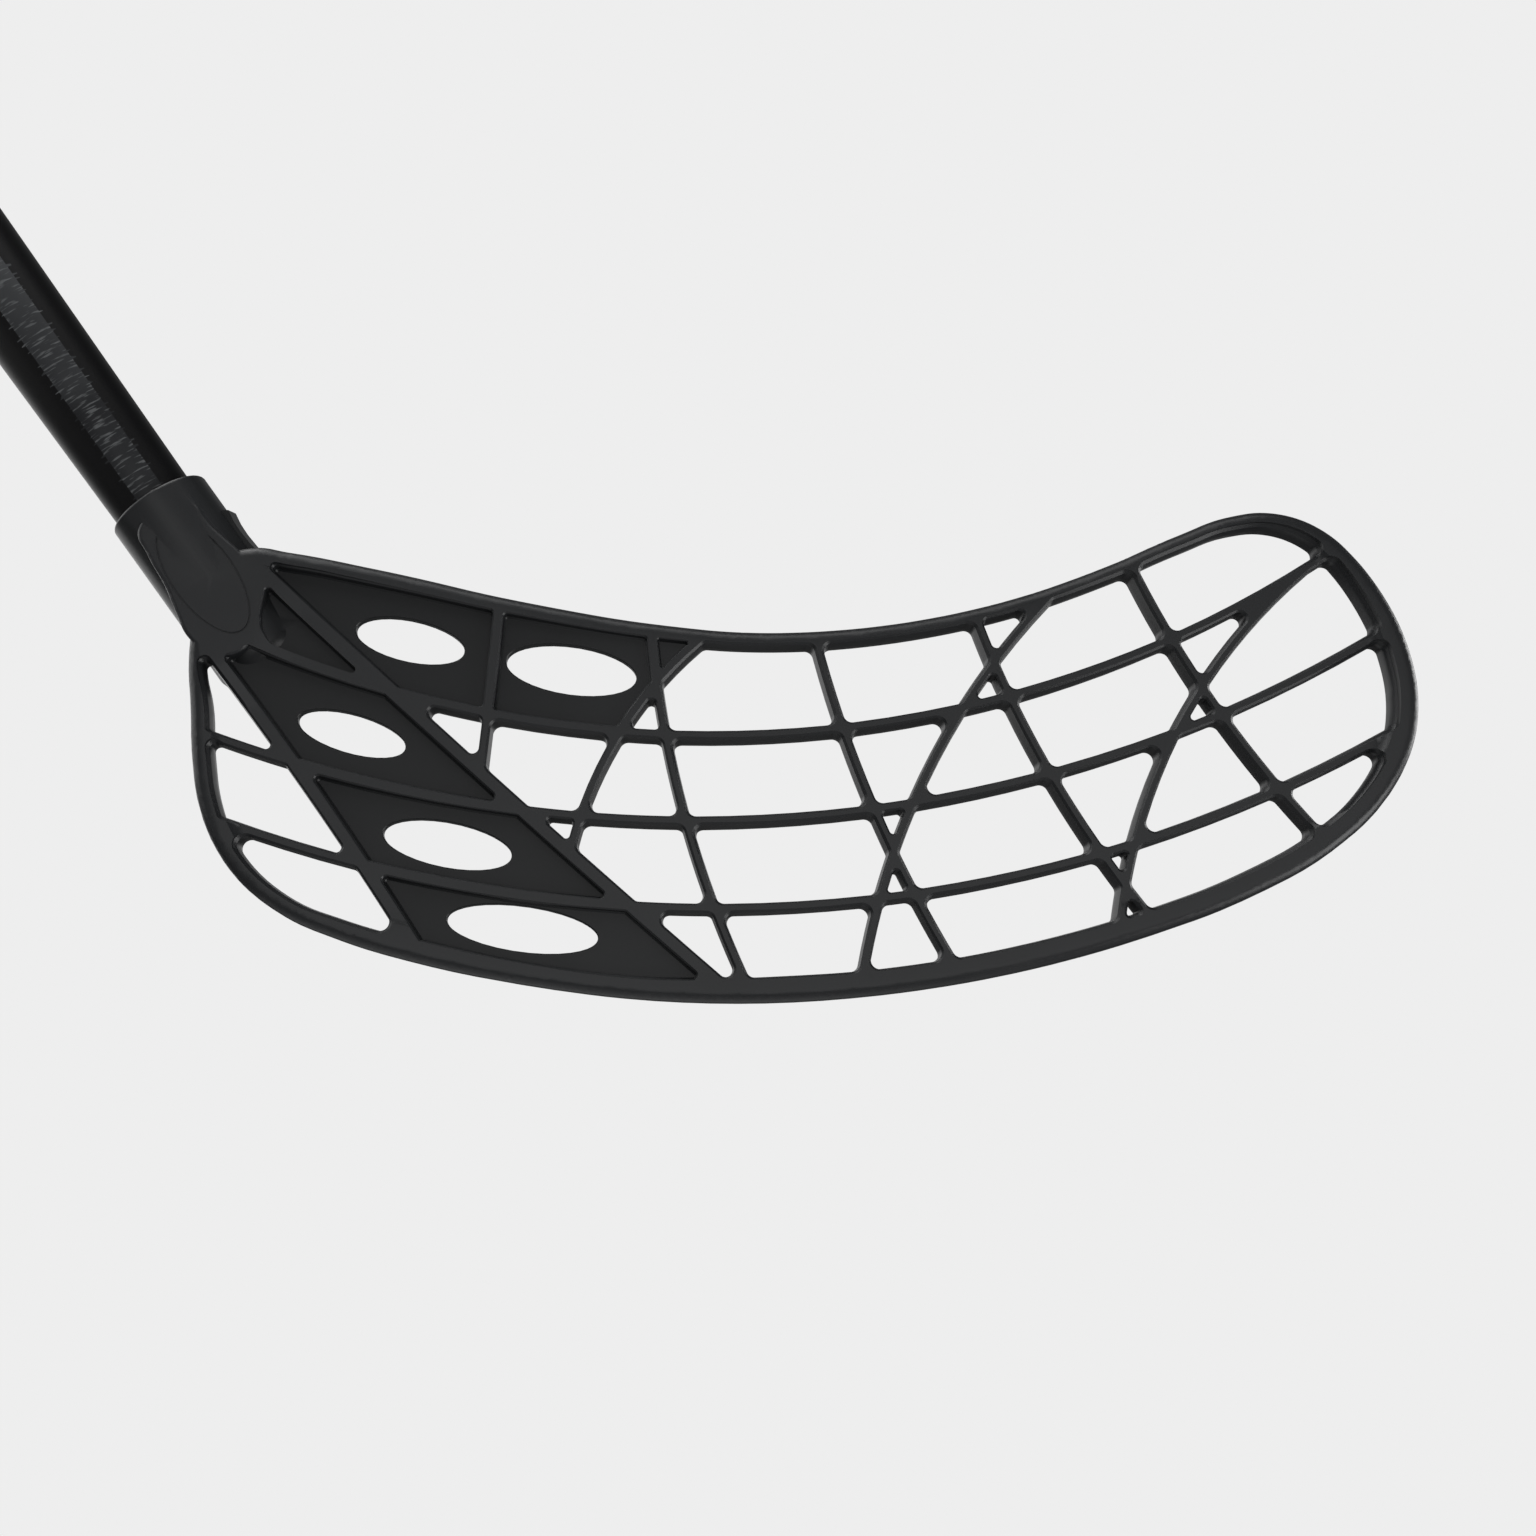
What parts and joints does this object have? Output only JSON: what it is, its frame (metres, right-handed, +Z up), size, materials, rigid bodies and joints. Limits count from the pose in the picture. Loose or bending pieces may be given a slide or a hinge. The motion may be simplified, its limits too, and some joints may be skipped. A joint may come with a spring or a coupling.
{
  "type": "floorball stick",
  "caption": "Floorball stick with an open-lattice hooked blade glued and screwed to a tapered composite tube shaft with a wrapped grip and a rubber end cap.",
  "frame": {"origin": "on the shaft's axis at the middle of the free grip", "axes": "+X from the blade's heel to its toe, +Y away from the hitting face towards the back, +Z up along the stick as it is held, with the shaft leaning to -X"},
  "size_m": [0.8572, 0.0403, 0.879],
  "materials": {
    "blade_plastic": "satin moulded polyamide, charcoal",
    "shaft_composite": "gloss lacquered composite tube, black",
    "glue": "set hot-melt glue, amber",
    "screw_steel": "zinc plated",
    "grip_wrap": "soft perforated polyurethane wrap, matte black",
    "tape": "vinyl tape, satin black",
    "cap_rubber": "moulded rubber, matte black"
  },
  "bodies": {
    "root": {"blade": "blade_plastic", "shaft": "shaft_composite", "glue_film": "glue", "upper_blade_screw": "screw_steel", "lower_blade_screw": "screw_steel", "grip_tape": "grip_wrap", "finishing_tape": "tape", "end_cap": "cap_rubber"}
  },
  "joints": []
}
